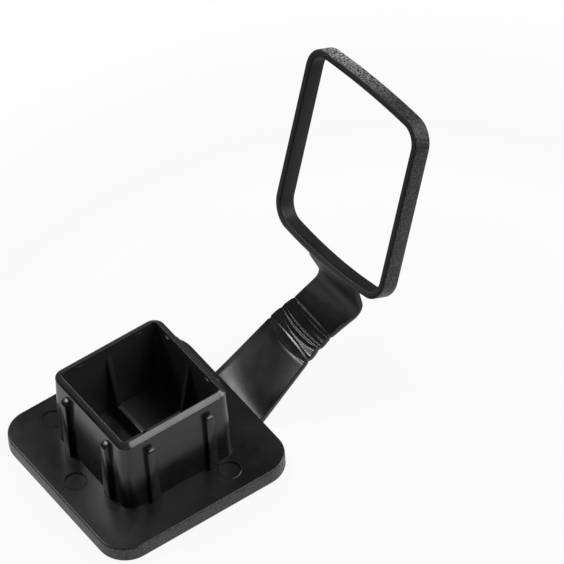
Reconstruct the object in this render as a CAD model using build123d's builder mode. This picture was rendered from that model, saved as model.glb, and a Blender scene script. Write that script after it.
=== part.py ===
# Tethered cover for a 50.8 mm hitch receiver, moulded in one piece of black rubber.
# Millimetres. The origin is the middle of the plate's outer face, which it stands on.
# Z runs out along the plug, Y towards the strap and the loop.
import os
from math import atan2, cos, degrees, radians, sin, tan

from build123d import *

# Receiver tube that the cover closes
receiver_bore = 50.8
receiver_tube = 63.5

# Plate
plate_width = 77.0
plate_thickness = 6.4
plate_corner = 11.0
plate_edge_round = 0.7

# Plug, a hollow square with draft, wider at the plate
plug_height = 32.4
plug_base_width = 47.0
plug_corner = 5.0
plug_draft = 1.35
plug_wall = 2.5
cavity_draft = 0.6
rim_land = 0.4
rim_bevel_drop = 1.4

# Ribs on the outside of the plug, which take up the play in the bore
rib_clearance = 0.3
rib_spacing = 24.8
rib_top_width = 3.1
rib_base_width = 4.4
rib_top_drop = 4.6
rib_slope_run = 2.1
rib_slope_drop = 1.2
rib_edge_round = 0.4

# Small ledges inside the plug, behind the ribs
ledge_depth = 0.5
ledge_width = 3.2
ledge_height = 4.0
ledge_drop = 1.6

# Cross web on the cavity floor, which climbs each wall as a gusset
web_thickness = 2.0
web_height = 5.0
gusset_top_drop = 4.8
gusset_foot = 4.7

# Marks left by the ejector pins
pin_mark_diameter = 7.6
pin_mark_depth = 0.35
pin_mark_places = ((0.0, -30.0), (29.0, 16.2), (-29.0, -20.4))

# Loop that is stretched round the tube, smaller than it by the stretch. Its foot is offset from
# the strap's knee, and its back face is the one that the strap runs into
loop_stretch = 2.4
loop_wall = 2.8
loop_depth = 6.4
loop_rise = 70.4
loop_corner = 8.5
loop_arch = 1.4
loop_sag = 2.5
loop_edge_round = 0.5
loop_offset = Vector(-0.3, -1.0, 18.25)
loop_lean = 22.4
loop_twist = -2.8
loop_roll = 7.3

# Strap, a flat band from the plate's outer face to the loop
strap_width = 29.0
strap_thickness = 2.0
root_height = 1.2
root_depth = 2.4
root_length = 0.4
root_bend_radius = 4.0

# Course of the strap: slopes in degrees, and how much each gains from the middle to the edge
rise_slope = 34.2
rise_slope_gain = 6.3
crease_slopes = (26.0, 21.3)
crease_slope_gains = (5.7, 9.0)
last_slope = 20.5
last_slope_gain = -3.5
rise_length = 29.1
crease_pitch = 5.7
last_length = 14.6
last_length_gain = 0.4
knee_radius = 3.6
neck_length = 3.0
neck_radius = 8.0
end_overlap = 1.4
end_inset = 0.4

# Creases across the strap, with a pillow between each two
crease_depth = 0.6
crease_bows = (2.3, 2.5, 1.3)
crease_lip = 0.8
pillow_height = 0.35

# Sizes that follow from the ones above
plug_top = plate_thickness + plug_height
draft_shift = plug_height * tan(radians(plug_draft))
rim_width = plug_base_width - 2 * draft_shift
cavity_width = rim_width - 2 * plug_wall
cavity_corner = plug_corner - draft_shift - plug_wall
wall_middle = rim_width / 2 - plug_wall / 2
rib_face = receiver_bore / 2 - rib_clearance
rib_top = plug_top - rib_top_drop
loop_inside = receiver_tube - loop_stretch
loop_outside = loop_inside + 2 * loop_wall
strap_half = strap_width / 2
strap_start = Vector(plate_width / 2 - root_depth, root_height)
root_bend = Vector(plate_width / 2 + root_length, root_height)


def cavity_reach(height):
    """Distance from the axis to the wall of the cavity at a height."""
    return cavity_width / 2 - (plug_top - height) * tan(radians(cavity_draft))


def along(slope):
    """Unit step up a slope, seen from the side."""
    return Vector(cos(radians(slope)), sin(radians(slope)))


def beside(point, before, after, distance):
    """Corner of a line that runs at a distance above the strap's middle line."""
    turn = radians(after - before) / 2
    return point + along((before + after) / 2 + 90) * (distance / cos(turn))


def slope_between(start, end):
    """Slope in degrees from one point to the next."""
    return degrees(atan2(end.Y - start.Y, end.X - start.X))


def strap_slopes(side):
    """Slopes of the strap's four stretches, where side runs from -1 to 1 across it."""
    return (
        rise_slope + side * rise_slope_gain,
        crease_slopes[0] + side * crease_slope_gains[0],
        crease_slopes[1] + side * crease_slope_gains[1],
        last_slope + side * last_slope_gain,
    )


def strap_corners(side):
    """The three creases and the knee on the strap's middle line."""
    rise, first, second, last = strap_slopes(side)
    bow_1, bow_2, bow_3 = [bow * (1 - side**2) for bow in crease_bows]
    crease_1 = root_bend + along(rise) * (rise_length - bow_1)
    crease_2 = crease_1 + along(first) * (crease_pitch + bow_1 - bow_2)
    crease_3 = crease_2 + along(second) * (crease_pitch + bow_2 - bow_3)
    knee = crease_3 + along(last) * (last_length + side * last_length_gain + bow_3)
    return crease_1, crease_2, crease_3, knee


knee_at_middle = strap_corners(0)[-1]
loop_foot = loop_offset + Vector(0, knee_at_middle.X, knee_at_middle.Y)
loop_plane = Plane(Location(loop_foot, (90 - loop_lean, loop_twist, loop_roll)))


def strap_side(x):
    """Outline of the strap where it is cut at x."""
    rise, first, second, last = strap_slopes(x / strap_half)
    crease_1, crease_2, crease_3, knee = strap_corners(x / strap_half)

    # Neck, and the end inside the loop
    sag = loop_sag * (1 - (2 * x / loop_outside) ** 2)
    skin = end_inset + strap_thickness / 2
    neck_3d = loop_plane.from_local_coords(Vector(x, -sag - neck_length, skin))
    end_3d = loop_plane.from_local_coords(Vector(x, -sag + end_overlap, skin))
    neck = Vector(neck_3d.Y, neck_3d.Z)
    end = Vector(end_3d.Y, end_3d.Z)
    climb = slope_between(knee, neck)
    final = slope_between(neck, end)

    # Upper face, with the creases cut into it
    half = strap_thickness / 2
    groove = half - crease_depth
    lip_before = beside(crease_1 - along(rise) * crease_lip, rise, rise, half)
    valley_1 = beside(crease_1, rise, first, groove)
    valley_2 = beside(crease_2, first, second, groove)
    valley_3 = beside(crease_3, second, last, groove)
    pillow_1 = beside((crease_1 + crease_2) / 2, first, first, half + pillow_height)
    pillow_2 = beside((crease_2 + crease_3) / 2, second, second, half + pillow_height)
    lip_after = beside(crease_3 + along(last) * crease_lip, last, last, half)
    with BuildSketch(Plane.YZ.offset(x)) as outline:
        with BuildLine():
            FilletPolyline(
                beside(strap_start, 0, 0, half),
                beside(root_bend, 0, rise, half),
                lip_before,
                radius=root_bend_radius - half,
            )
            Line(lip_before, valley_1)
            ThreePointArc(valley_1, pillow_1, valley_2)
            ThreePointArc(valley_2, pillow_2, valley_3)
            Line(valley_3, lip_after)
            FilletPolyline(
                lip_after,
                beside(knee, last, climb, half),
                beside(neck, climb, final, half),
                beside(end, final, final, half),
                radius=(knee_radius, neck_radius + half),
            )
            Line(beside(end, final, final, half), beside(end, final, final, -half))
            FilletPolyline(
                beside(end, final, final, -half),
                beside(neck, climb, final, -half),
                beside(knee, last, climb, -half),
                beside(crease_3, second, last, -half),
                radius=(neck_radius - half, knee_radius + strap_thickness),
            )
            Line(beside(crease_3, second, last, -half), beside(crease_2, first, second, -half))
            Line(beside(crease_2, first, second, -half), beside(crease_1, rise, first, -half))
            FilletPolyline(
                beside(crease_1, rise, first, -half),
                beside(root_bend, 0, rise, -half),
                beside(strap_start, 0, 0, -half),
                radius=root_bend_radius + half,
            )
            Line(beside(strap_start, 0, 0, -half), beside(strap_start, 0, 0, half))
        make_face()
    return outline.sketch


# Two ribs and two ledges of the wall that faces X
with BuildPart() as wall_features:
    rib_foot = plate_thickness / 2
    rib_height = rib_top - rib_foot
    rib_side_angle = degrees(atan2(rib_height, (rib_base_width - rib_top_width) / 2))
    with BuildSketch(Plane.YZ.offset(rib_face)):
        with Locations((-rib_spacing / 2, rib_foot), (rib_spacing / 2, rib_foot)):
            Trapezoid(rib_base_width, rib_height, rib_side_angle, align=(Align.CENTER, Align.MIN))
    extrude(amount=wall_middle - rib_face)
    with BuildSketch(Plane.XZ):
        with BuildLine():
            Polyline(
                (rib_face - rib_slope_run, rib_top),
                (rib_face, rib_top),
                (rib_face, rib_top - rib_slope_drop),
                close=True,
            )
        make_face()
    extrude(amount=rib_spacing, both=True, mode=Mode.SUBTRACT)
    fillet(
        wall_features.faces().filter_by(Axis.X).group_by(Axis.X)[-1].edges(),
        rib_edge_round,
    )
    ledge_top = plug_top - ledge_drop
    for side in (-1, 1):
        with BuildSketch(Plane.XZ.offset(side * rib_spacing / 2)):
            with BuildLine():
                Polyline(
                    (wall_middle, ledge_top),
                    (cavity_reach(ledge_top) - ledge_depth, ledge_top),
                    (wall_middle, ledge_top - ledge_height),
                    close=True,
                )
            make_face()
        extrude(amount=ledge_width / 2, both=True)

with BuildPart() as plug_and_plate:
    # Plate. The mould parts at its outer face, so only the other edge is rounded
    with BuildSketch():
        RectangleRounded(plate_width, plate_width, plate_corner)
    extrude(amount=plate_thickness)
    fillet(plug_and_plate.faces().sort_by(Axis.Z)[-1].edges(), plate_edge_round)

    # Plug
    with BuildSketch(Plane.XY.offset(plate_thickness)):
        RectangleRounded(plug_base_width, plug_base_width, plug_corner)
    extrude(amount=plug_height, taper=plug_draft)
    rim = plug_and_plate.faces().sort_by(Axis.Z)[-1]
    chamfer(rim.edges(), plug_wall - rim_land, rim_bevel_drop, reference=rim)
    with BuildSketch(Plane.XY.offset(plug_top)):
        RectangleRounded(cavity_width, cavity_width, cavity_corner)
    extrude(amount=-plug_height, taper=cavity_draft, mode=Mode.SUBTRACT)

    # Cross web and gussets
    gusset_top = plug_top - gusset_top_drop
    gusset_reach = cavity_reach(gusset_top)
    web_top = plate_thickness + web_height
    for plane in (Plane.XZ, Plane.YZ):
        with BuildSketch(plane):
            with BuildLine():
                Polyline(
                    (-wall_middle, plate_thickness / 2),
                    (wall_middle, plate_thickness / 2),
                    (wall_middle, gusset_top),
                    (gusset_reach, gusset_top),
                    (gusset_reach - gusset_foot, web_top),
                    (gusset_foot - gusset_reach, web_top),
                    (-gusset_reach, gusset_top),
                    (-wall_middle, gusset_top),
                    close=True,
                )
            make_face()
        extrude(amount=web_thickness / 2, both=True)

    # Ribs and ledges on the four walls
    with PolarLocations(0, 4):
        add(wall_features.part)

    # Pin marks on the plate
    with BuildSketch(Plane.XY.offset(plate_thickness)):
        with Locations(*pin_mark_places):
            Circle(pin_mark_diameter / 2)
    extrude(amount=-pin_mark_depth, mode=Mode.SUBTRACT)

# Strap, drawn through its two edges and its middle
with BuildPart() as strap:
    loft(sections=[strap_side(x) for x in (-strap_half, 0, strap_half)])

# Loop: sides straight, top arched and bottom pulled down by the strap
with BuildPart() as loop:
    with BuildSketch(loop_plane):
        with BuildLine():
            half = loop_outside / 2
            Line((half, 0), (half, loop_rise))
            ThreePointArc((half, loop_rise), (0, loop_rise + loop_arch), (-half, loop_rise))
            Line((-half, loop_rise), (-half, 0))
            ThreePointArc((-half, 0), (0, -loop_sag), (half, 0))
        make_face()
        fillet(vertices(), loop_corner)
        offset(amount=-loop_wall, mode=Mode.SUBTRACT)
    extrude(amount=loop_depth)
    front = loop.faces().sort_by(Axis(loop_foot, loop_plane.z_dir))[-1]
    fillet(front.outer_wire().edges(), loop_edge_round)

with BuildPart() as receiver_cover:
    add(plug_and_plate.part)
    add(strap.part)
    add(loop.part)

receiver_cover.part.label = "receiver_cover"
os.makedirs("parts", exist_ok=True)
export_step(receiver_cover.part, "parts/receiver_cover.step")
print("solids", len(receiver_cover.part.solids()), "box", receiver_cover.part.bounding_box().size)
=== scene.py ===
from functools import cache
from math import atan2, cos, degrees, exp, pi, radians, sin, tan
from typing import NamedTuple

import bpy
import bmesh
from mathutils import Matrix, Vector


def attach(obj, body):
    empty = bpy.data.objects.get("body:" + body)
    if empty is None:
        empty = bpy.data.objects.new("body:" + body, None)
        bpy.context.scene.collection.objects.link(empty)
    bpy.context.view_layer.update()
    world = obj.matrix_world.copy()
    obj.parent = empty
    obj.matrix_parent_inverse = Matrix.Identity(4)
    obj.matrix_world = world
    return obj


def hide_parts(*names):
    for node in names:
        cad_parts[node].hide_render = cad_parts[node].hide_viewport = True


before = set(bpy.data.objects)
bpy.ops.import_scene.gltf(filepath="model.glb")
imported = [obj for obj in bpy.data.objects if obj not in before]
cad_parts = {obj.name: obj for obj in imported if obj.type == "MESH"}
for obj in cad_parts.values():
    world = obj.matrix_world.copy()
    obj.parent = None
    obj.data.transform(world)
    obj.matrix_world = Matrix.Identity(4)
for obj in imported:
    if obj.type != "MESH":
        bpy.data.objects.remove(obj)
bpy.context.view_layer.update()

MM = 0.001

# Sizes of the moulding in millimetres, as in the part's source
plate_half, plate_thickness, plate_corner, plate_round = 38.5, 6.4, 11.0, 0.7
plug_half, plug_corner, plug_top = 23.5, 5.0, 38.8
rim_half, rim_inner, rim_land, rim_bevel_drop = 22.74, 20.24, 0.4, 1.4
floor_half, wall_middle = 19.9, 21.5
rib_face, rib_spacing, rib_foot, rib_top = 25.1, 24.8, 3.2, 34.2
rib_foot_width, rib_top_width = 4.4, 3.1
rib_slope_run, rib_slope_drop = 2.1, 1.2
ledge_top, ledge_height, ledge_width, ledge_depth = 37.2, 4.0, 3.2, 0.5
web_top, web_thickness = 11.4, 2.0
gusset_top, gusset_foot = 34.0, 4.7

# Rounds on the plug's edges, and the least radius of a corner seen from above
foot_round, rim_outer_round, rim_top_round, rim_inner_round = 0.08, 0.35, 0.25, 0.15
rib_round, ledge_round, web_round = 0.4, 0.1, 0.3
least_corner = 0.5

# Pin marks. The lip round each has a section of (how far outside the mark, how far above the plate)
pin_marks = ((0, -30), (29, 16.2), (-29, -20.4))
pin_mark_radius, pin_mark_depth, pin_mark_lean = 3.8, 0.35, 0.08
pin_lip = ((0.04, -0.25), (0.16, 0.13), (0.42, -0.05))

# Loop
loop_width, loop_rise, loop_arch, loop_sag = 66.7, 70.4, 1.4, 2.5
loop_corner, loop_wall, loop_depth, loop_round = 8.5, 2.8, 6.4, 0.55
loop_points, loop_corner_points, loop_round_points = 260, 12, 4
loop_foot, loop_lean, loop_twist, loop_roll = (-0.3, 86.3, 45.0), 22.4, -2.8, 7.3
loop_place = (
    Matrix.Translation(loop_foot)
    @ Matrix.Rotation(radians(90 - loop_lean), 4, "X")
    @ Matrix.Rotation(radians(loop_twist), 4, "Y")
    @ Matrix.Rotation(radians(loop_roll), 4, "Z")
)

# Strap. Slopes are in degrees, and a gain is the change from the middle to the right edge
strap_half, strap_thickness, strap_round = 14.5, 2.0, 0.3
strap_start, strap_level, root_end = 36.1, 1.2, 38.9
rise_slope, rise_gain, rise_length = 34.2, 6.3, 29.1
crease_slopes, crease_gains, crease_bows = (26.0, 21.3), (5.7, 9.0), (2.3, 2.5, 1.3)
crease_pitch = 5.7
last_slope, last_gain, last_length, last_length_gain = 20.5, -3.5, 14.6, 0.4
neck_length, end_overlap, end_inset = 3.0, 1.4, 0.4

# Bends of the strap, which are the root, three creases, the knee and the neck, and the steps in
# which each bend, each run between bends and the strap's section are drawn
bend_radii = (4.0, 1.5, 1.5, 1.5, 4.6, 8.0)
bend_steps = (6, 4, 4, 4, 16, 6)
run_steps = (2, 60, 50, 56, 44, 4, 4)
crease_bends = slice(1, 4)
across_steps, edge_steps, edge_inset = 56, 4, 0.06


class Fold(NamedTuple):
    """A small fold beside a crease. Each size is for the strap's left edge, middle and right edge:
    how far past the crease it starts, how long its steep face is, how high it stands, and over
    what length it falls away again."""

    starts: tuple
    faces: tuple
    heights: tuple
    falls: tuple


# Folds at the first crease: a lip before it, the crease's own face, and a swell at the right edge
first_folds = (
    Fold(starts=(-1.3, -1.2, -2.2), faces=(0.8, 0.8, 1.9), heights=(0.12, 0.1, 0.36), falls=(0.4, 0.4, 0.4)),
    Fold(starts=(0.1, 2.4, 0.0), faces=(0.9, 1.2, 0.7), heights=(0.18, 0.3, 0.24), falls=(0.5, 0.5, 0.4)),
    Fold(starts=(4.8, 3.7, 1.2), faces=(0.6, 1.4, 3.9), heights=(0.06, 0.4, 1.1), falls=(0.6, 0.6, 0.7)),
)
# At the second crease: its own face, a second line beside it, and a swell at the right edge
second_folds = (
    Fold(starts=(-0.4, 0.5, -0.3), faces=(0.7, 1.1, 0.9), heights=(0.28, 0.58, 0.34), falls=(0.4, 0.5, 0.4)),
    Fold(starts=(0.9, 2.1, 1.1), faces=(0.5, 0.8, 0.6), heights=(0.12, 0.4, 0.22), falls=(0.5, 0.6, 0.4)),
    Fold(starts=(4.4, 4.4, 2.3), faces=(0.5, 0.6, 1.9), heights=(0.0, 0.0, 0.62), falls=(0.5, 0.5, 0.7)),
)
# At the third crease: a thin line before it, its own face, and a broad swell after it
third_folds = (
    Fold(starts=(-0.9, -0.7, -0.8), faces=(0.6, 0.6, 0.5), heights=(0.14, 0.2, 0.2), falls=(0.4, 0.4, 0.3)),
    Fold(starts=(-0.4, 0.6, -0.1), faces=(0.8, 1.1, 0.8), heights=(0.34, 0.58, 0.34), falls=(0.5, 0.6, 0.5)),
    Fold(starts=(3.0, 3.0, 3.0), faces=(3.0, 3.0, 3.0), heights=(0.0, 0.05, 0.3), falls=(5.0, 5.0, 7.0)),
)
shortest_face, underside_share = 0.4, 0.35

# Fillet between the plate and the strap, at the left edge, middle and right edge. It thins out
# near the left edge. Its thinning starts at a share of the strap's half width
fillet_heights, fillet_lengths = (1.9, 1.7, 1.6), (4.2, 3.2, 2.6)
fillet_thinning, thinning_start, thinning_width = 0.75, 0.8, 0.2

# Edges of the strap: nipped at the creases, bulging between them
nip_depth, nip_length, bulge_depth, edge_power = 0.35, 0.7, 0.25, 8


class Sock:
    """A node's socket that can be written into a sum."""

    def __init__(self, tree, socket):
        self.tree = tree
        self.socket = socket

    def sum(self, operation, *values):
        node = self.tree.nodes.new("ShaderNodeMath")
        node.operation = operation
        for slot, value in zip(node.inputs, values):
            feed(self.tree, slot, value)
        return Sock(self.tree, node.outputs[0])

    def __add__(self, other):
        return self.sum("ADD", self, other)

    def __sub__(self, other):
        return self.sum("SUBTRACT", self, other)

    def __mul__(self, other):
        return self.sum("MULTIPLY", self, other)

    def __truediv__(self, other):
        return self.sum("DIVIDE", self, other)

    def __pow__(self, other):
        return self.sum("POWER", self, other)

    def __abs__(self):
        return self.sum("ABSOLUTE", self)

    def __radd__(self, other):
        return self.sum("ADD", other, self)

    def __rsub__(self, other):
        return self.sum("SUBTRACT", other, self)

    def __rmul__(self, other):
        return self.sum("MULTIPLY", other, self)


def feed(tree, slot, value):
    """Links a wrapped socket to a slot, or sets the slot to a plain value."""
    if isinstance(value, Sock):
        tree.links.new(value.socket, slot)
    else:
        slot.default_value = value


class Nodes:
    """A node tree, with one way to add any node."""

    def __init__(self, tree):
        self.tree = tree

    def node(self, kind, settings=None, output=0, **sockets):
        """Adds a node. A socket is given by its name, or by _ and its number."""
        node = self.tree.nodes.new(kind)
        for key, value in (settings or {}).items():
            setattr(node, key, value)
        for key, value in sockets.items():
            slot = int(key[1:]) if key[0] == "_" else key.replace("_", " ")
            feed(self.tree, node.inputs[slot], value)
        return Sock(self.tree, node.outputs[output])

    def axes(self, place):
        """The x, y and z of a place."""
        split = self.node("ShaderNodeSeparateXYZ", Vector=place).socket.node
        return [Sock(self.tree, part) for part in split.outputs]


class Form(Nodes):
    """A Geometry Nodes tree with named inputs, which ends in real and painted faces."""

    def __init__(self, name, **inputs):
        super().__init__(bpy.data.node_groups.new(name, "GeometryNodeTree"))
        for key, kind in inputs.items():
            self.tree.interface.new_socket(key, in_out="INPUT", socket_type="NodeSocket" + kind)
        self.tree.interface.new_socket("Result", in_out="OUTPUT", socket_type="NodeSocketGeometry")
        entry = self.tree.nodes.new("NodeGroupInput")
        self.given = {key: Sock(self.tree, entry.outputs[key]) for key in inputs}

    def vector(self, x=0.0, y=0.0, z=0.0):
        return self.node("ShaderNodeCombineXYZ", X=x, Y=y, Z=z)

    def finish(self, form, rubber):
        real = self.node("GeometryNodeRealizeInstances", Geometry=form)
        painted = self.node("GeometryNodeSetMaterial", Geometry=real, Material=rubber)
        leave = self.tree.nodes.new("NodeGroupOutput")
        self.tree.links.new(painted.socket, leave.inputs[0])

    def run_on(self, piece, **values):
        """Works the tree into a piece, with its inputs set by their sockets' identifiers."""
        modifier = piece.modifiers.new(self.tree.name, "NODES")
        modifier.node_group = self.tree
        for item in self.tree.interface.items_tree:
            if item.name in values:
                modifier[item.identifier] = values[item.name]
        return applied(piece)


# Meshes

def link(name, mesh):
    """A new object at the origin for a mesh."""
    piece = bpy.data.objects.new(name, mesh)
    bpy.context.collection.objects.link(piece)
    return piece


def mesh_of(name, shape):
    """A piece in metres from a bmesh that was drawn in millimetres."""
    bmesh.ops.recalc_face_normals(shape, faces=shape.faces)
    bmesh.ops.scale(shape, vec=(MM, MM, MM), verts=shape.verts)
    mesh = bpy.data.meshes.new(name)
    shape.to_mesh(mesh)
    shape.free()
    return link(name, mesh)


def applied(piece):
    """The piece with its modifiers worked into its mesh."""
    view = bpy.context.evaluated_depsgraph_get()
    view.update()
    mesh = bpy.data.meshes.new_from_object(piece.evaluated_get(view))
    piece.modifiers.clear()
    piece.data = mesh
    return piece


def soft_edges(piece, width, segments=2):
    """Rounds the sharp edges of a piece."""
    bevel = piece.modifiers.new("edges", "BEVEL")
    bevel.width = width * MM
    bevel.segments = segments
    bevel.limit_method = "ANGLE"
    bevel.angle_limit = radians(35)
    return applied(piece)


def smooth(piece, angle=35):
    """Shades the faces smoothly, apart from sharp edges."""
    piece.data.shade_smooth()
    piece.data.set_sharp_from_angle(angle=radians(angle))
    return piece


def joined(name, pieces):
    """One piece out of several."""
    whole = bmesh.new()
    for piece in pieces:
        whole.from_mesh(piece.data)
        bpy.data.objects.remove(piece)
    mesh = bpy.data.meshes.new(name)
    whole.to_mesh(mesh)
    whole.free()
    return link(name, mesh)


def skinned(name, rings):
    """A closed skin over rings that have the same number of points."""
    shape = bmesh.new()
    rows = [[shape.verts.new(point) for point in ring] for ring in rings]
    count = len(rows[0])
    for low, high in zip(rows, rows[1:]):
        for index in range(count):
            after = (index + 1) % count
            shape.faces.new((low[index], low[after], high[after], high[index]))
    shape.faces.new(reversed(rows[0]))
    shape.faces.new(rows[-1])
    return mesh_of(name, shape)


# Plate and plug

def square_ring(half, corner, height, corner_steps=10, side_steps=6):
    """Points all the way round a square with round corners."""
    ring = []
    middle = half - corner
    for quarter in range(4):
        turn = Matrix.Rotation(quarter * pi / 2, 3, "Z")
        for step in range(corner_steps + 1):
            angle = pi / 2 * step / corner_steps
            ring.append(turn @ Vector((middle + corner * cos(angle), middle + corner * sin(angle), height)))
        for step in range(1, side_steps):
            ring.append(turn @ Vector((middle - 2 * middle * step / side_steps, half, height)))
    return ring


def rounded_profile(points, steps=4):
    """Profile through points (half, height, round), with each corner rounded."""
    profile = []
    for index, (half, height, radius) in enumerate(points):
        here = Vector((half, height))
        if radius == 0:
            profile.append(here)
            continue
        before = (Vector(points[index - 1][:2]) - here).normalized()
        after = (Vector(points[index + 1][:2]) - here).normalized()
        opening = before.angle(after)
        reach = radius / tan(opening / 2)
        centre = here + (before + after).normalized() * (radius / sin(opening / 2))
        first, last = here + before * reach - centre, here + after * reach - centre
        for step in range(steps + 1):
            profile.append(centre + first.lerp(last, step / steps).normalized() * radius)
    return profile


def moulded_body(end_margin=4, join_margin=3):
    """Plate and hollow plug in one skin, from the outer face to the cavity floor."""
    join = plug_half + join_margin
    plate_line = rounded_profile((
        (plate_half - end_margin, 0, 0),
        (plate_half, 0, plate_round),
        (plate_half, plate_thickness, plate_round),
        (join, plate_thickness, 0),
    ))
    plug_line = rounded_profile((
        (join, plate_thickness, 0),
        (plug_half, plate_thickness, foot_round),
        (rim_half, plug_top - rim_bevel_drop, rim_outer_round),
        (rim_inner + rim_land, plug_top, rim_top_round),
        (rim_inner, plug_top, rim_inner_round),
        (floor_half, plate_thickness, foot_round),
        (floor_half - end_margin, plate_thickness, 0),
    ))
    rings = []
    for half, height in plate_line[:-1]:
        rings.append(square_ring(half, plate_corner - plate_half + half, height))
    for half, height in plug_line:
        rings.append(square_ring(half, max(plug_corner - plug_half + half, least_corner), height))
    return skinned("body", rings)


def flat_form(name, outline, half_width):
    """A form with an outline in (reach, height), half_width(height) wide on each side."""
    shape = bmesh.new()
    left, right = [
        [shape.verts.new((reach, sign * half_width(height), height)) for reach, height in outline]
        for sign in (-1, 1)
    ]
    for index in range(len(outline)):
        after = (index + 1) % len(outline)
        shape.faces.new((left[index], left[after], right[after], right[index]))
    shape.faces.new(left)
    shape.faces.new(reversed(right))
    return mesh_of(name, shape)


def rib():
    """One rib of the wall that faces X, narrower towards its top."""
    def half_width(height):
        share = (height - rib_foot) / (rib_top - rib_foot)
        return (rib_foot_width + (rib_top_width - rib_foot_width) * share) / 2

    outline = (
        (wall_middle, rib_foot), (rib_face, rib_foot), (rib_face, rib_top - rib_slope_drop),
        (rib_face - rib_slope_run, rib_top), (wall_middle, rib_top),
    )
    return soft_edges(flat_form("rib", outline, half_width), rib_round, 3)


def ledge():
    """One small ledge inside the wall that faces X."""
    outline = (
        (wall_middle, ledge_top), (rim_inner - ledge_depth, ledge_top),
        (wall_middle, ledge_top - ledge_height),
    )
    return soft_edges(flat_form("ledge", outline, lambda height: ledge_width / 2), ledge_round)


def webs(draft=0.1):
    """The two webs that cross on the cavity floor, with their gussets."""
    reach = rim_inner - draft
    outline = (
        (-wall_middle, plate_thickness / 2), (wall_middle, plate_thickness / 2),
        (wall_middle, gusset_top), (reach, gusset_top), (reach - gusset_foot, web_top),
        (gusset_foot - reach, web_top), (-reach, gusset_top), (-wall_middle, gusset_top),
    )
    pair = []
    for turn in (0, pi / 2):
        web = soft_edges(flat_form("web", outline, lambda height: web_thickness / 2), web_round)
        web.data.transform(Matrix.Rotation(turn, 4, "Z"))
        pair.append(web)
    return pair


def wall_pattern():
    """Tree that sets a form twice on each wall of the plug."""
    form = Form("twice_on_each_wall", Part="Geometry", Spacing="Float", Walls="Int", Rubber="Material")
    spacing, walls = form.given["Spacing"], form.given["Walls"]
    pair = form.node(
        "GeometryNodeMeshLine", Count=2,
        Start_Location=form.vector(y=spacing * -0.5), Offset=form.vector(y=spacing),
    )
    on_wall = form.node("GeometryNodeInstanceOnPoints", Points=pair, Instance=form.given["Part"])
    corners = form.node("GeometryNodePoints", Count=walls)
    turn = form.vector(z=form.node("GeometryNodeInputIndex") * (2 * pi) / walls)
    around = form.node("GeometryNodeInstanceOnPoints", Points=corners, Instance=on_wall, Rotation=turn)
    form.finish(around, form.given["Rubber"])
    return form


def pin_cutter():
    """Shallow discs that cut the pin marks into the plate."""
    shape = bmesh.new()
    for x, y in pin_marks:
        bmesh.ops.create_cone(
            shape, cap_ends=True, segments=40, depth=2 * pin_mark_depth,
            radius1=pin_mark_radius - pin_mark_lean, radius2=pin_mark_radius + pin_mark_lean,
            matrix=Matrix.Translation((x, y, plate_thickness)),
        )
    return mesh_of("pins", shape)


def pin_lips(steps=48):
    """The thin raised lips that the pins leave round their marks."""
    shape = bmesh.new()
    angles = [2 * pi * step / steps for step in range(steps)]
    for x, y in pin_marks:
        rows = []
        for out, up in pin_lip:
            reach = pin_mark_radius + out
            rows.append([
                shape.verts.new((x + reach * cos(angle), y + reach * sin(angle), plate_thickness + up))
                for angle in angles
            ])
        for inner, outer in zip(rows, rows[1:] + rows[:1]):
            for step in range(steps):
                after = (step + 1) % steps
                shape.faces.new((inner[step], outer[step], outer[after], inner[after]))
    return mesh_of("lips", shape)


def sand_plate_edge(piece, off_plug=6, below_face=0.3, upright=0.8):
    """Gives the second finish to the faces round the plate's edge, and the first to all others."""
    for face in piece.data.polygons:
        middle = face.center / MM
        at_edge = max(abs(middle.x), abs(middle.y)) > plug_half + off_plug
        on_side = middle.z < plate_thickness - below_face and abs(face.normal.z) < upright
        face.material_index = 1 if at_edge and on_side else 0


def make_plug_and_plate(smooth_finish, sanded_finish):
    """The plate, the plug and all that stands on them, as one piece."""
    body, pins = moulded_body(), pin_cutter()
    cut = body.modifiers.new("pins", "BOOLEAN")
    cut.operation = "DIFFERENCE"
    cut.solver = "EXACT"
    cut.object = pins
    applied(body)
    bpy.data.objects.remove(pins)
    pattern = wall_pattern()
    repeated = [
        pattern.run_on(part, Spacing=rib_spacing * MM, Walls=4, Rubber=smooth_finish)
        for part in (rib(), ledge())
    ]
    piece = smooth(joined("plug_and_plate", [body, pin_lips()] + repeated + webs()))
    piece.data.materials.append(smooth_finish)
    piece.data.materials.append(sanded_finish)
    sand_plate_edge(piece)
    return piece


# Loop

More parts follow.
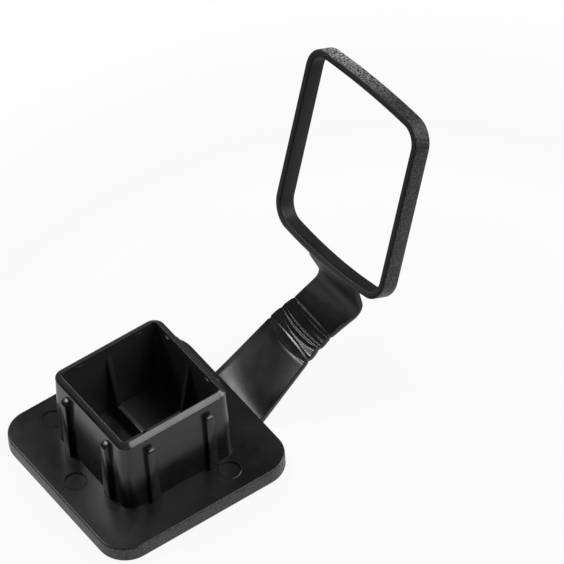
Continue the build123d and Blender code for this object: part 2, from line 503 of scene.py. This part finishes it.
def swept_loop():
    """Tree that carries the loop's section round a square, arched above and pulled down below."""
    form = Form(
        "swept_loop", Width="Float", Rise="Float", Arch="Float", Sag="Float", Corner="Float",
        Wall="Float", Depth="Float", Edge_round="Float", Rubber="Material",
    )
    given = form.given
    across = given["Width"] - given["Wall"]
    high = given["Rise"] - given["Wall"]
    square = form.node(
        "GeometryNodeCurvePrimitiveQuadrilateral", {"mode": "RECTANGLE"}, Width=across, Height=high,
    )
    rounded = form.node(
        "GeometryNodeFilletCurve", {"mode": "POLY"}, Curve=square, Count=loop_corner_points,
        Radius=given["Corner"] - given["Wall"] * 0.5,
    )
    path = form.node("GeometryNodeResampleCurve", {"mode": "COUNT"}, Curve=rounded, Count=loop_points)
    x, y, _ = form.axes(form.node("GeometryNodeInputPosition"))
    bend = 1 - (x / across * 2) ** 2
    above = form.node("ShaderNodeMath", {"operation": "GREATER_THAN"}, _0=y, _1=0.0)
    drift = bend * (above * (given["Arch"] + given["Sag"]) - given["Sag"])
    bent = form.node(
        "GeometryNodeSetPosition", Geometry=path,
        Offset=form.vector(y=drift + given["Rise"] * 0.5, z=given["Depth"] * 0.5),
    )
    section = form.node(
        "GeometryNodeFilletCurve", {"mode": "POLY"}, Count=loop_round_points, Radius=given["Edge_round"],
        Curve=form.node(
            "GeometryNodeCurvePrimitiveQuadrilateral", {"mode": "RECTANGLE"},
            Width=given["Wall"], Height=given["Depth"],
        ),
    )
    ring = form.node("GeometryNodeCurveToMesh", Curve=bent, Profile_Curve=section)
    form.finish(ring, given["Rubber"])
    return form


def make_loop(smooth_finish, sanded_finish, outward_share=0.6):
    """The square ring, with its outer faces sanded and the rest smooth."""
    ring = link("loop", bpy.data.meshes.new("loop"))
    swept_loop().run_on(
        ring, Width=loop_width * MM, Rise=loop_rise * MM, Arch=loop_arch * MM, Sag=loop_sag * MM,
        Corner=loop_corner * MM, Wall=loop_wall * MM, Depth=loop_depth * MM,
        Edge_round=loop_round * MM, Rubber=smooth_finish,
    )
    shape = bmesh.new()
    shape.from_mesh(ring.data)
    bmesh.ops.recalc_face_normals(shape, faces=shape.faces)
    shape.to_mesh(ring.data)
    shape.free()
    ring.data.materials.append(sanded_finish)
    middle = Vector((0, loop_rise / 2 * MM, 0))
    for face in ring.data.polygons:
        outward = face.center - middle
        if face.normal.dot(Vector((outward.x, outward.y, 0)).normalized()) > outward_share:
            face.material_index = 1
    place = loop_place.copy()
    place.translation *= MM
    ring.data.transform(place)
    return smooth(ring)


# Strap

def along(slope):
    """Unit step up a slope, seen from the side."""
    return Vector((cos(radians(slope)), sin(radians(slope))))


def slope_between(start, end):
    """Slope in degrees from one point to the next."""
    return degrees(atan2(end.y - start.y, end.x - start.x))


def through(values, side):
    """A smooth value between those of the left edge, the middle and the right edge."""
    left, middle, right = values
    return middle + (right - left) / 2 * side + ((right + left) / 2 - middle) * side ** 2


def strap_corners(x):
    """Corners of the strap's middle line where it is cut at x, and the slopes between them."""
    side = x / strap_half
    bows = [bow * (1 - side ** 2) for bow in crease_bows]
    slopes = [
        0, rise_slope + side * rise_gain, crease_slopes[0] + side * crease_gains[0],
        crease_slopes[1] + side * crease_gains[1], last_slope + side * last_gain,
    ]
    lengths = [
        rise_length - bows[0], crease_pitch + bows[0] - bows[1], crease_pitch + bows[1] - bows[2],
        last_length + side * last_length_gain + bows[2],
    ]
    corners = [Vector((strap_start, strap_level)), Vector((root_end, strap_level))]
    for slope, length in zip(slopes[1:], lengths):
        corners.append(corners[-1] + along(slope) * length)
    sag = loop_sag * (1 - (2 * x / loop_width) ** 2)
    for reach in (-neck_length, end_overlap):
        point = loop_place @ Vector((x, -sag + reach, end_inset + strap_thickness / 2))
        corners.append(Vector((point.y, point.z)))
    slopes += [slope_between(corners[-3], corners[-2]), slope_between(corners[-2], corners[-1])]
    return corners, slopes


@cache
def strap_line(x):
    """Middle line of the strap at x, as points with their slopes, how far along it each point is,
    and how far along it the creases are."""
    corners, slopes = strap_corners(x)
    line, middles, start = [], [], corners[0]
    for index, (radius, steps) in enumerate(zip(bend_radii, bend_steps)):
        corner, before, after = corners[index + 1], slopes[index], slopes[index + 1]
        turn = radians(after - before)
        reach = radius * abs(tan(turn / 2))
        enter = corner - along(before) * reach
        for step in range(run_steps[index]):
            line.append((start.lerp(enter, step / run_steps[index]), before))
        middles.append(len(line) + steps // 2)
        bend = radius if turn > 0 else -radius
        centre = enter + along(before + 90) * bend
        for step in range(steps + 1):
            slope = before + (after - before) * step / steps
            line.append((centre - along(slope + 90) * bend, slope))
        start = corner + along(after) * reach
    for step in range(1, run_steps[-1] + 1):
        line.append((start.lerp(corners[-1], step / run_steps[-1]), slopes[-1]))
    travel = [0.0]
    for (first, _), (second, _) in zip(line, line[1:]):
        travel.append(travel[-1] + (second - first).length)
    return line, travel, [travel[middle] for middle in middles[crease_bends]]


def eased(share, soft=0.3):
    """A straight step from 0 to 1 that starts and ends softly."""
    share = min(max(share, 0.0), 1.0)
    if share < soft:
        return share ** 2 / (2 * soft * (1 - soft))
    if share > 1 - soft:
        return 1 - (1 - share) ** 2 / (2 * soft * (1 - soft))
    return (share - soft / 2) / (1 - soft)


def fold_height(side, travel, creases):
    """How far the folds raise the strap's face at a place."""
    total = 0
    for crease, folds in zip(creases, (first_folds, second_folds, third_folds)):
        for fold in folds:
            gone = travel - crease - through(fold.starts, side)
            face = max(through(fold.faces, side), shortest_face)
            height = max(through(fold.heights, side), 0.0)
            fallen = eased((gone - face) / through(fold.falls, side))
            total += height * (eased(gone / face) - fallen)
    return total


def root_fillet(side, travel):
    """How far the fillet at the plate raises the strap's face at a place."""
    reach = max(travel - root_end + strap_start, 0)
    lift = through(fillet_heights, side) * exp(-reach / through(fillet_lengths, side))
    return lift * (1 - fillet_thinning * eased((-side - thinning_start) / thinning_width))


def scallop(travel, creases):
    """How far the strap's edges bulge between the creases, and pull in at them."""
    bulge = 0
    for crease in creases:
        bulge -= nip_depth * exp(-((travel - crease) / nip_length) ** 2)
    for first, second in zip(creases, creases[1:]):
        if first < travel < second:
            bulge += bulge_depth * sin(pi * (travel - first) / (second - first))
    return bulge


def strap_section():
    """Points round the strap's section, as places across it and heights over its middle line."""
    inner = strap_half - strap_round
    level = strap_thickness / 2 - strap_round
    across = [-inner + 2 * inner * step / across_steps for step in range(across_steps + 1)]
    across.insert(1, edge_inset - inner)
    across.insert(-1, inner - edge_inset)
    angles = [pi / 2 * (1 - step / edge_steps) for step in range(1, edge_steps)]
    edge = [(inner + strap_round * cos(angle), level + strap_round * sin(angle)) for angle in angles]
    edge += [(x, -height) for x, height in reversed(edge)]
    top = [(x, level + strap_round) for x in across]
    bottom = [(x, -height) for x, height in reversed(top)]
    left_edge = [(-x, height) for x, height in reversed(edge)]
    return top + edge + bottom + left_edge


def make_strap(rubber):
    """The strap, as a skin over the lines that run along it from each point of its section."""
    lines = []
    for x, height in strap_section():
        x = round(x, 4)  # so that the upper and the lower face share their middle lines
        side = x / strap_half
        middle_line, travel, creases = strap_line(x)
        line = []
        for (point, slope), gone in zip(middle_line, travel):
            lift = fold_height(side, gone, creases)
            if height > 0:
                lift += root_fillet(side, gone)
            else:
                lift *= underside_share
            place = point + along(slope + 90) * (height + lift)
            push = scallop(gone, creases) * abs(side) ** edge_power * (1 if side > 0 else -1)
            line.append(Vector((x + push, place.x, place.y)))
        lines.append(line)
    strap = skinned("strap", zip(*lines))
    strap.data.materials.append(rubber)
    return smooth(strap, 60)


# Finishes

class Finish(Nodes):
    """A material with its surface shader."""

    def __init__(self, name):
        self.material = bpy.data.materials.new(name)
        self.material.use_nodes = True
        super().__init__(self.material.node_tree)
        self.surface = self.tree.nodes["Principled BSDF"]
        self.place = self.node("ShaderNodeTexCoord", output="Object")

    def noise(self, scale, detail=2.0, roughness=0.5):
        return self.node(
            "ShaderNodeTexNoise", Vector=self.place, Scale=scale, Detail=detail, Roughness=roughness,
        )

    def between(self, value, low, high, first=0.0, last=1.0):
        """Goes from first to last while a value goes from low to high."""
        return self.node("ShaderNodeMapRange", _0=value, _1=low, _2=high, _3=first, _4=last)

    def fade(self, place, stretch, first=0.0, last=1.0):
        """Goes from first to last over a stretch of the object, given in millimetres."""
        start, end = stretch
        return self.between(place, start * MM, end * MM, first, last)

    def shade(self, mask, first, second):
        """The first colour, and the second where the mask is 1."""
        return self.node(
            "ShaderNodeMix", {"data_type": "RGBA"}, output=2, _0=mask, _6=first, _7=second,
        )

    def set(self, **sockets):
        for key, value in sockets.items():
            feed(self.tree, self.surface.inputs[key.replace("_", " ")], value)
        return self.material

    def bump(self, height, strength, distance):
        return self.node("ShaderNodeBump", Height=height, Strength=strength, Distance=distance * MM)


def tone(grey, blue):
    """A grey colour with its own amount of blue."""
    return (grey, grey, blue, 1)


def smooth_rubber():
    """Satin black rubber with the cloudy bloom and the fine grain of a moulded face, and painted light: a
    lighter cavity, paler web tops and a painted sheen on the plate, strongest at its left.
    """
    black, bloomed, sheen_grey = tone(0.001, 0.0012), tone(0.013, 0.0145), tone(0.034, 0.036)
    painted_cavity_light, painted_web_highlight = tone(0.033, 0.034), tone(0.09, 0.092)

    # Stretches over which the finish changes, in millimetres
    to_left_edge, down_to_plate = (-4, -30), (plate_thickness + 1.1, plate_thickness + 0.2)
    into_cavity, off_outer_face, into_web = (22.2, 21.8), (0, 1), (1.3, 1.0)
    up_to_web_top, down_to_web_top = (web_top - 0.5, web_top - 0.2), (web_top + 0.4, web_top + 0.1)
    up_the_walls, off_the_strap = (7, 9), (35, 30)
    into_creases, back_into_creases, past_knee = (58, 63), (78, 75), (79, 83)

    finish = Finish("smooth_rubber")
    x, y, z = finish.axes(finish.place)
    cloud = finish.between(finish.noise(scale=75, detail=3, roughness=0.55), 0.26, 0.68)
    mottle = finish.between(finish.noise(scale=260), 0.2, 0.8)
    bloom = cloud * 0.6 + mottle * 0.4
    # Painted sheen: all below the plate's top face is painted lighter, partly at the right and fully towards
    # the left edge, standing in for a sheen of light on the plate.
    painted_sheen = finish.fade(x, to_left_edge, 0.3, 1.0) * finish.fade(z, down_to_plate)
    # Painted light: walls, floor and webs inside the plug are painted a lighter grey, standing in for light
    # falling into the cavity.
    inside = finish.fade(abs(x), into_cavity) * finish.fade(abs(y), into_cavity) \
        * finish.fade(z, off_outer_face)
    # Painted highlight: the webs' tops are painted a paler grey, as if lit from above.
    on_webs = inside * finish.fade(z, up_to_web_top) * finish.fade(z, down_to_web_top) \
        * (finish.fade(abs(x), into_web) + finish.fade(abs(y), into_web))
    walls = finish.fade(z, up_the_walls) * finish.fade(y, off_the_strap)
    creased = finish.fade(y, into_creases) * finish.fade(y, back_into_creases)
    dull = finish.fade(y, past_knee)

    colour = finish.shade(bloom, black, bloomed)
    colour = finish.shade(inside, colour, painted_cavity_light)
    colour = finish.shade(on_webs, colour, painted_web_highlight)
    colour = finish.shade(painted_sheen * (0.4 + bloom * 0.5), colour, sheen_grey)
    return finish.set(
        Base_Color=colour,
        Roughness=0.25 + bloom * 0.13 + dull * 0.3 - creased * 0.12 - walls * 0.1,
        Normal=finish.bump(finish.noise(scale=900), strength=0.04, distance=0.03),
    )


def sanded_rubber():
    """Black rubber with the coarse grain of a blasted mould, with pale specks painted at one end of the loop
    as a highlight.
    """
    pit, speck, highlight_speck = tone(0.006, 0.0066), tone(0.08, 0.084), tone(0.9, 0.91)
    to_loop_left, onto_loop = (4, -28), (100, 120)

    finish = Finish("sanded_rubber")
    x, y, _ = finish.axes(finish.place)
    grain = finish.noise(scale=1400, detail=3, roughness=0.8)
    # Painted highlight: pale specks at the loop's left end stand in for light glinting on the grain there.
    painted_highlight = finish.fade(x, to_loop_left) * finish.fade(y, onto_loop)
    specks = finish.shade(painted_highlight, speck, highlight_speck)
    return finish.set(
        Base_Color=finish.shade(finish.between(grain, 0.46, 0.56), pit, specks),
        Roughness=0.4, Normal=finish.bump(grain, strength=1.0, distance=0.3),
    )


smooth_finish = smooth_rubber()
sanded_finish = sanded_rubber()

plug_and_plate = make_plug_and_plate(smooth_finish, sanded_finish)
loop = make_loop(smooth_finish, sanded_finish)
strap = make_strap(smooth_finish)

for piece in (plug_and_plate, loop, strap):
    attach(piece, "root")
    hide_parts("receiver_cover")


# Floor

def pale_floor():
    """A pale floor near the object that is dark further off, so that low faces mirror a dark room.
    The camera sees it white, with a faint shadow, and mirrors see white near the object, painted dimmer
    towards +X."""
    middle = (60 * MM, 60 * MM, 0)
    pale_grey, dark_grey = tone(0.85, 0.85), tone(0.08, 0.08)
    sheet_edge, past_shadow, mirror_glow_fade = (145, 170), (100, 250), (-10, 50)

    pale = Finish("pale_floor")
    off_middle = pale.node(
        "ShaderNodeVectorMath", {"operation": "DISTANCE"}, output="Value", _0=pale.place, _1=middle,
    )
    x, _, _ = pale.axes(pale.place)
    sheet = pale.fade(off_middle, sheet_edge, 1.0, 0.0)
    pale.set(Base_Color=pale.shade(sheet, dark_grey, pale_grey), Roughness=0.6)
    by_camera = pale.node("ShaderNodeLightPath", output="Is Camera Ray")
    by_mirror = pale.node("ShaderNodeLightPath", output="Is Glossy Ray")
    by_glass = pale.node("ShaderNodeLightPath", output="Is Transmission Ray")
    # The glow that mirrors see is painted dimmer towards +X, which darkens the reflection on the plug's +X
    # wall.
    seen = by_camera * pale.fade(off_middle, past_shadow, 0.9, 1.0) \
        + (by_mirror + by_glass) * sheet * pale.fade(x, mirror_glow_fade, 1.0, 0.4)
    glow = pale.node("ShaderNodeEmission", Color=tone(1, 1), Strength=1.0)
    lit = Sock(pale.tree, pale.surface.outputs[0])
    mixed = pale.node("ShaderNodeMixShader", _0=seen, _1=lit, _2=glow)
    pale.tree.links.new(mixed.socket, pale.tree.nodes["Material Output"].inputs["Surface"])
    return pale.material


bpy.ops.mesh.primitive_plane_add(size=8)
floor = bpy.context.object
floor.name = "floor"
floor.data.materials.append(pale_floor())


# Light

def softbox(name, direction, distance, size, power, aim=(0, 0.02, 0.03)):
    """An area lamp that stands in a direction from the object and faces it."""
    lamp = bpy.data.lights.new(name, "AREA")
    lamp.shape = "RECTANGLE"
    lamp.size, lamp.size_y = size
    lamp.energy = power
    stand = link(name, lamp)
    stand.location = Vector(aim) + Vector(direction).normalized() * distance
    stand.rotation_euler = Vector(direction).to_track_quat("Z", "Y").to_euler()


world = bpy.data.worlds.new("studio")
world.use_nodes = True
bpy.context.scene.world = world
room = world.node_tree.nodes["Background"]
room.inputs["Color"].default_value = tone(1, 1)
room.inputs["Strength"].default_value = 0.1

softbox("right_box", direction=(0.47, 0.35, 0.81), distance=1.6, size=(0.7, 0.5), power=6)
softbox("top_box", direction=(-0.55, -0.2, 0.8), distance=1.6, size=(0.5, 0.5), power=8)
softbox("low_box", direction=(-0.84, -0.58, 0.1), distance=1.6, size=(0.28, 0.28), power=3.8)
softbox("back_box", direction=(0.25, 0.8, 0.55), distance=1.8, size=(0.9, 0.9), power=16)

# Camera. Its turn comes from the directions that are right and down in its picture
right = Vector((0.57406, 0.817302, -0.049716))
down = Vector((0.591847, -0.45613, -0.664578))
turn = Matrix((right, -down, -right.cross(down))).transposed().to_4x4()
camera = link("camera", bpy.data.cameras.new("camera"))
camera.matrix_world = Matrix.Translation((1.409389, -0.815373, 1.906221)) @ turn
camera.data.lens = 450.95
camera.data.sensor_width = 36
camera.data.clip_end = 100
bpy.context.scene.camera = camera
bpy.context.scene.view_settings.view_transform = "Standard"
